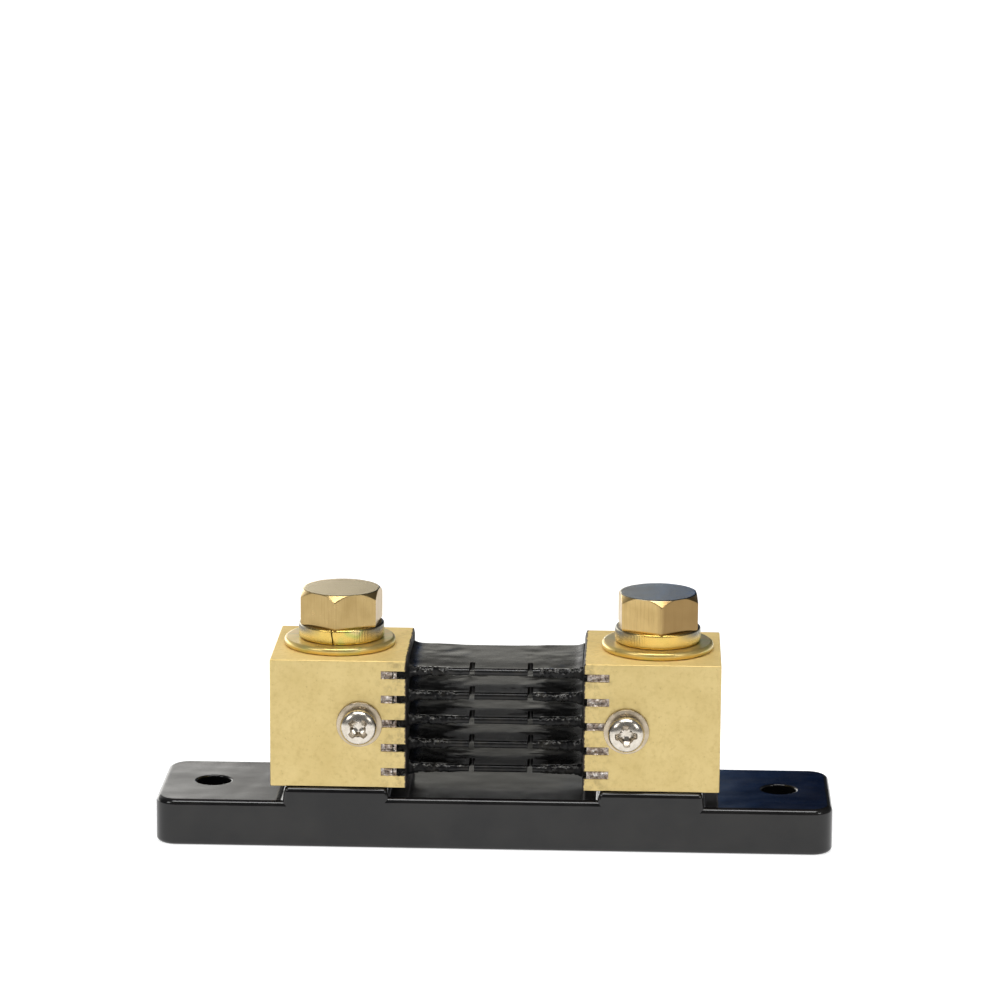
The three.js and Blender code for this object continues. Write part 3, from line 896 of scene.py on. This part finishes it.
HEX_WIDTH = 14.29 * MM
HEX_FACE_RADIUS = 7.2 * MM
HEX_CHAMFER_DROP = 1.3 * MM
HEX_SIDES = 360
HEX_SHARPNESS = 260
HEX_LIP = 0.1 * MM
HEAD_FILLET = 0.5 * MM
BOLT_RADIUS = 4.68 * MM
BOLT_THREAD = (0.85 * MM, 1.5875 * MM)  # depth and pitch
BOLT_PLAIN = 0.8 * MM
BOLT_TURN = {"left": math.radians(-5 + 60), "right": math.radians(5 + 60)}
SPLIT_TURN = {"left": math.radians(-90 - 8.5), "right": math.radians(-90 + 160)}
SPLIT_GAP = 0.25 * MM
SPLIT_LEAN = math.radians(-8.5)
LOCK_INNER = 5.1 * MM
LOCK_EASE = 0.4 * MM
LOCK_CLEARANCE = 0.02 * MM
LOCK_STEPS = 150
PLAIN_INNER = 5.2 * MM
PLAIN_EASE = 0.6 * MM
PLAIN_SIDES = 144


def thread_rings(radius, depth, pitch, top, tip, sides, plain):
    """Rings of a right-hand thread from under the head down to the chamfered tip, with its
    crests at radius and a plain stretch first."""
    rings = []
    for z in np.arange(top, tip, -pitch / 9):
        phase = (z / pitch - angles_round(sides) / (2 * math.pi)) % 1
        tooth = np.clip(np.abs(2 * phase - 1) * 1.25 - 0.12, 0, 1)
        fade = ease(top - z, plain, plain + 1.2 * pitch)
        chamfer = radius - depth + max(z - tip, 0)
        rings.append(level_ring(np.minimum(radius - depth * fade * tooth, chamfer), sides, z))
    rings.append(level_ring((radius - depth) * 0.96, sides, tip))
    return rings


def hexagon_radii():
    """Distances from the axis to a hexagon whose upright edges are slightly rounded."""
    faces = np.arange(6) * math.pi / 3
    spread = np.cos(angles_round(HEX_SIDES)[:, None] - faces[None, :]).clip(1e-3)
    return HEX_WIDTH / 2 / (spread ** HEX_SHARPNESS).sum(axis=1) ** (1 / HEX_SHARPNESS)


def soft_minimum(a, b, blend):
    gap = np.clip(0.5 + 0.5 * (b - a) / blend, 0, 1)
    return b * (1 - gap) + a * gap - blend * gap * (1 - gap)


def terminal_bolt(side):
    """A hexagon head with chamfered corners on a threaded shank."""
    low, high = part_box(f"{side}_terminal_bolt")
    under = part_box(f"{side}_spring_washer")[1].z
    depth = high.z - under
    hexagon = hexagon_radii()
    slope = (HEX_WIDTH / math.sqrt(3) - HEX_FACE_RADIUS) / HEX_CHAMFER_DROP
    face = soft_minimum(hexagon, HEX_FACE_RADIUS, 0.1 * MM)
    stack = [(face * share, high.z) for share in (0.03, 0.3, 0.6, 0.85, 0.95)]
    drops = np.concatenate([
        np.linspace(0, 0.12, 4), np.linspace(0.16, 1.6, 26), np.linspace(1.9, 5.9, 8), [6.05, 6.15],
    ]) * MM
    for drop in drops[drops < depth]:
        radii = soft_minimum(hexagon, HEX_FACE_RADIUS + drop * slope, 0.05 * MM)
        lip = HEX_LIP - math.sqrt(HEX_LIP ** 2 - max(HEX_LIP - drop, 0) ** 2)
        foot = max(HEX_LIP - (depth - drop), 0)
        stack.append((radii - lip - foot, high.z - drop))
    stack += [
        (hexagon - 0.12 * MM, under), (BOLT_RADIUS + HEAD_FILLET, under),
        (BOLT_RADIUS, under - 0.3 * MM),
    ]
    rings = [level_ring(radii, HEX_SIDES, z) for radii, z in stack]
    rings += thread_rings(BOLT_RADIUS, *BOLT_THREAD, under - 0.4 * MM, low.z, HEX_SIDES, BOLT_PLAIN)
    piece = move(loft(f"{side}_bolt", rings), Matrix.Rotation(BOLT_TURN[side], 4, "Z"))
    return smooth(shift(piece, *STUDS[side].xy), 32)


def ring_section(inner, outer, bottom, top, easing):
    """A rounded rectangle as (radius, z) points."""
    points = []
    for radius, z, start in (
        (outer - easing, bottom + easing, -90), (outer - easing, top - easing, 0),
        (inner + easing, top - easing, 90), (inner + easing, bottom + easing, 180),
    ):
        points += arc((radius, z), easing, start, start + 90, 3)
    return points


def round_washer(name, section, sides):
    rings = []
    for angle in angles_round(sides):
        rings.append([(r * math.cos(angle), r * math.sin(angle), z) for r, z in section])
    return loft(name, rings, closed=True)


def split_washer(name, section, split, gap, lean, steps):
    """A ring whose two ends meet at a leaning gap."""
    heights = [z for _, z in section]
    middle = (min(heights) + max(heights)) / 2
    rings = []
    for t in np.linspace(0, 1, steps + 1):
        ring = []
        for r, z in section:
            start = split + gap / 2 / r
            sweep = 2 * math.pi - gap / r
            angle = start + sweep * t + math.tan(lean) * (z - middle) / r
            ring.append((r * math.cos(angle), r * math.sin(angle), z))
        rings.append(ring)
    return loft(name, rings)


def lock_washer(side):
    low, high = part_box(f"{side}_spring_washer")
    bottom, top = low.z + LOCK_CLEARANCE, high.z - LOCK_CLEARANCE
    section = ring_section(LOCK_INNER, (high.y - low.y) / 2, bottom, top, LOCK_EASE)
    name = f"{side}_lock_washer"
    piece = split_washer(name, section, SPLIT_TURN[side], SPLIT_GAP, SPLIT_LEAN, LOCK_STEPS)
    return smooth(shift(piece, *STUDS[side].xy), 50)


def plain_washer(side):
    low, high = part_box(f"{side}_flat_washer")
    section = ring_section(PLAIN_INNER, (high.x - low.x) / 2, low.z, high.z, PLAIN_EASE)
    piece = round_washer(f"{side}_plain_washer", section, PLAIN_SIDES)
    return smooth(shift(piece, *((low + high) / 2).xy), 50)


# ---- small hardware

SMALL_SIDES = 96
PAN_EDGE = 0.75 * MM
SENSE_RADIUS = 1.66 * MM
SENSE_THREAD = (0.36 * MM, 0.79375 * MM)  # depth and pitch
SENSE_RECESS = (2.15 * MM, 0.7 * MM, 1.9 * MM)  # wing, half width and depth
RECESS_TURN = {"left": math.radians(45), "right": math.radians(4)}
SENSE_WASHER_INNER = 1.9 * MM
SENSE_WASHER_EASE = 0.15 * MM
SENSE_SPLIT = (math.radians(-80), 0.3 * MM, math.radians(-18))  # place, gap and lean
BASE_HEAD_RADIUS = 3.5 * MM
BASE_SHANK_RADIUS = 1.95 * MM
BASE_RECESS = (2.1 * MM, 0.5 * MM, 1.6 * MM)
BASE_RECESS_TURN = {"front": math.radians(20), "rear": math.radians(65)}


def cross_cutter(wing, half, depth, top, turn):
    """A tapered cross for a Phillips recess, with its mouth at top and pointing down."""
    rings = []
    for share, z in ((1.08, top + 0.5 * MM), (1.0, top), (0.72, top - depth * 0.6), (0.2, top - depth)):
        tip = wing * share
        width = half * (0.55 + 0.45 * share)
        neck = width * 1.55
        quarter = [(tip, -width * 0.8), (tip * 1.04, 0), (tip, width * 0.8),
                   (neck * 1.25, width), (neck * 0.98, neck * 0.98), (width, neck * 1.25)]
        ring = []
        for k in range(4):
            c, s = math.cos(turn + k * math.pi / 2), math.sin(turn + k * math.pi / 2)
            ring += [(x * c - y * s, x * s + y * c, z) for x, y in quarter]
        rings.append(ring)
    return loft("cross_cutter", rings)


def pan_head(name, radius, height, shank, tip, thread=()):
    """A domed screw head on a shank, standing on Z with its underside at zero. thread is the
    thread's depth and pitch. Without it the shank is plain."""
    profile = []
    for angle in np.radians(np.linspace(2, 90, 15)):
        dome = (height - PAN_EDGE) * math.cos(angle)
        profile.append((radius * math.sin(angle) ** 0.72, PAN_EDGE + dome))
    profile += [(radius, PAN_EDGE * 0.5), (radius - 0.03 * MM, 0.12 * MM)]
    profile += [(radius - 0.15 * MM, 0), (shank, 0)]
    if not thread:
        profile += [(shank, tip + 0.5 * MM), (shank - 0.5 * MM, tip)]
    rings = [level_ring(r, SMALL_SIDES, z) for r, z in profile]
    if thread:
        rings += thread_rings(shank, *thread, -0.1 * MM, tip, SMALL_SIDES, 0.3 * MM)
    return loft(name, rings)


def sense_frame(side, y):
    """Stands a piece made along Z on the sense screw's axis, with its top to the front."""
    place = (SENSES[side].x, y, SENSES[side].z)
    return Matrix.Translation(place) @ Matrix.Rotation(math.pi / 2, 4, "X")


def sense_screw(side):
    low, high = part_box(f"{side}_sense_screw")
    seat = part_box(f"{side}_sense_spring_washer")[0].y
    radius, head, tip = (high.x - low.x) / 2, seat - low.y, seat - high.y
    piece = pan_head(f"{side}_pan_screw", radius, head, SENSE_RADIUS, tip, SENSE_THREAD)
    carve(piece, cross_cutter(*SENSE_RECESS, head, RECESS_TURN[side]))
    return smooth(move(piece, sense_frame(side, seat)), 38)


def sense_washer(side, kind):
    low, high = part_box(f"{side}_sense_{kind}_washer")
    outer, thickness = (high.x - low.x) / 2, high.y - low.y
    section = ring_section(SENSE_WASHER_INNER, outer, 0, thickness, SENSE_WASHER_EASE)
    if kind == "flat":
        piece = round_washer(f"{side}_sense_plain_washer", section, SMALL_SIDES)
    else:
        piece = split_washer(f"{side}_sense_lock_washer", section, *SENSE_SPLIT, SMALL_SIDES)
    return smooth(move(piece, sense_frame(side, high.y)), 50)


def base_screw(side, end):
    """A screw with its head in a counterbore, upside down."""
    low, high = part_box(f"{side}_base_screw_{end}")
    head, tip = COUNTERBORE_DEPTH - low.z, COUNTERBORE_DEPTH - high.z
    name = f"{side}_base_screw_{end}_steel"
    piece = pan_head(name, BASE_HEAD_RADIUS, head, BASE_SHANK_RADIUS, tip)
    carve(piece, cross_cutter(*BASE_RECESS, head, BASE_RECESS_TURN[end]))
    move(piece, Matrix.Rotation(math.pi, 4, "X"))
    return smooth(shift(piece, *((low + high) / 2).xy, COUNTERBORE_DEPTH), 38)


# ---- assembly

dress(base_moulding(), ROOT, black_moulding(), "moulded_base", "base")

paint = black_paint()
solder = dull_solder()
nickel = bright_nickel()
worn_nickel = dull_nickel()
for number, strip in zip(NUMBERS, STRIPS):
    dress(painted_strip(number), ROOT, paint, "painted_strip", strip)

for side in SIDES:
    block = f"{side}_terminal_block"
    dress(terminal_block(side), ROOT, block_brass(side), "block_brass", block)
    dress(paint_coat(side), ROOT, paint, "painted_strip")
    for number in NUMBERS:
        dress(solder_bead(side, number), ROOT, solder, "solder", f"{side}_solder_{number}")
    for end in ENDS:
        dress(base_screw(side, end), ROOT, nickel, "screw_steel", f"{side}_base_screw_{end}")

    bolt = f"{side}_terminal_bolt"
    washers = f"{side}_terminal_washers"
    lock, flat = f"{side}_spring_washer", f"{side}_flat_washer"
    dress(terminal_bolt(side), bolt, bolt_brass(side), "bolt_brass", bolt)
    dress(lock_washer(side), washers, ribbed_zinc(side), "yellow_zinc", lock)
    dress(plain_washer(side), washers, plain_zinc(side), "yellow_zinc", flat)

    screw = f"{side}_sense_screw"
    dress(sense_screw(side), screw, nickel, "screw_steel", screw)
    for kind in ("flat", "spring"):
        washer = f"{side}_sense_{kind}_washer"
        dress(sense_washer(side, kind), f"{side}_sense_washers", worn_nickel, "screw_steel", washer)


# ---- studio

FLOOR_REACH = 6.0
FLOOR_GAP = 0.05 * MM
FLOOR_GLOW = (0.78, 1.15)
ROOM = 0.16
SHEET = (
    (0.0, 2.6), (0.1, 2.3), (0.19, 1.15), (0.24, 1.45), (0.252, 1.35), (0.266, 0.64), (0.3, 0.55),
    (0.42, 0.4), (0.65, 0.16),
)
ACROSS = (
    (-0.6, (2.4, 2.38, 2.3)), (-0.44, (2.3, 2.28, 2.2)), (-0.3, (0.9, 0.89, 0.86)),
    (-0.15, (1.3, 1.28, 1.24)), (-0.13, (1.8, 1.77, 1.7)), (-0.105, (1.6, 1.57, 1.5)),
    (-0.09, (0.95, 0.93, 0.89)), (-0.06, (0.5, 0.49, 0.45)), (-0.014, (0.48, 0.47, 0.43)),
    (0.0, (0.35, 0.38, 0.42)), (0.009, (0.18, 0.27, 0.46)), (0.021, (0.06, 0.12, 0.28)),
    (0.032, (0.0, 0.02, 0.09)), (0.06, (0.0, 0.015, 0.07)), (0.085, (0.015, 0.017, 0.02)),
    (0.25, (0.03, 0.032, 0.035)), (0.6, (0.2, 0.2, 0.2)),
)
LIT_POINT = Vector((0, 0, 0.02))
LIGHTS = {
    "overhead": ((0, -0.26, 0.86), (0.7, 0.26), 5.2),
    "left": ((-0.62, -0.5, 0.5), (0.28, 0.28), 1.3),
    "right": ((0.6, -0.5, 0.42), (0.22, 0.28), 0.8),
}
CAMERA_PLACE = (0.02784, -0.74462, 0.22456)
CAMERA_DOWN = math.radians(12.159)
CAMERA_ROUND = math.radians(2.104)
CAMERA_ROLL = math.radians(0.361)


def pale_floor():
    """A light table: a pale sheet that glows softly, so that it stays white to its far edge."""
    mesh = bpy.data.meshes.new("floor")
    corners = [(x * FLOOR_REACH, y * FLOOR_REACH, 0) for x, y in ((-1, -1), (1, -1), (1, 1), (-1, 1))]
    mesh.from_pydata(corners, [], [(0, 1, 2, 3)])
    floor = make_piece("floor", mesh)
    floor.location.z = -FLOOR_GAP
    look = Look("pale_floor", (0.6, 0.6, 0.6), 0.0, 0.8, Emission_Color=(1, 1, 1, 1))
    shade = look.span(look.noise(600, detail=2), 0.3, 0.7)
    look.set(Base_Color=look.mix(shade, (0.62, 0.62, 0.62), (0.58, 0.58, 0.58)))
    distance = look.node("VectorMath", operation="LENGTH")
    look.feed(distance, _0=look.place)
    look.set(Emission_Strength=look.span(distance.outputs["Value"], 0.6, 2.4, *FLOOR_GLOW))
    floor.data.materials.append(look.material)


def studio_air():
    """A dim room with a grey backdrop behind the object, lighter on its left, bluish on its
    right. The camera itself sees white beyond the floor."""
    world = bpy.data.worlds.new("studio")
    world.use_nodes = True
    air = Nodes(world.node_tree, "Generated")
    stops = [((place + 1) / 2, colour) for place, colour in ACROSS]
    across = air.ramp(air.span(air.axis("X"), -1.0, 1.0), *stops, mode="LINEAR")
    sheet = air.mix(1.0, air.ramp(air.axis("Z"), *SHEET, mode="LINEAR"), across, "MULTIPLY")
    behind = air.ramp(air.axis("Y"), (0.15, 0.0), (0.7, 1.0), mode="LINEAR")
    room = air.mix(behind, (ROOM, ROOM, ROOM), sheet)
    seen = air.mix(air.node("LightPath").outputs["Is Camera Ray"], room, (1.0, 1.0, 1.0))
    air.feed(world.node_tree.nodes["Background"], Color=seen)
    bpy.context.scene.world = world


def soft_light(name, place, size, power):
    light = bpy.data.lights.new(name, "AREA")
    light.shape = "RECTANGLE"
    light.size, light.size_y = size
    light.energy = power
    lamp = bpy.data.objects.new(name, light)
    bpy.context.scene.collection.objects.link(lamp)
    lamp.location = place
    lamp.rotation_euler = (LIT_POINT - Vector(place)).to_track_quat("-Z", "Y").to_euler()


def photo_camera():
    data = bpy.data.cameras.new("camera")
    data.sensor_width = 36
    data.lens = 146.87
    data.clip_end = 20
    camera = bpy.data.objects.new("camera", data)
    bpy.context.scene.collection.objects.link(camera)
    facing = Euler((math.radians(90) - CAMERA_DOWN, 0, CAMERA_ROUND)).to_matrix()
    turn = facing @ Matrix.Rotation(CAMERA_ROLL, 3, "Z")
    camera.matrix_world = Matrix.Translation(CAMERA_PLACE) @ turn.to_4x4()
    bpy.context.scene.camera = camera


pale_floor()
studio_air()
for name, (place, size, power) in LIGHTS.items():
    soft_light(name, place, size, power)
photo_camera()
bpy.context.scene.view_settings.view_transform = "Standard"
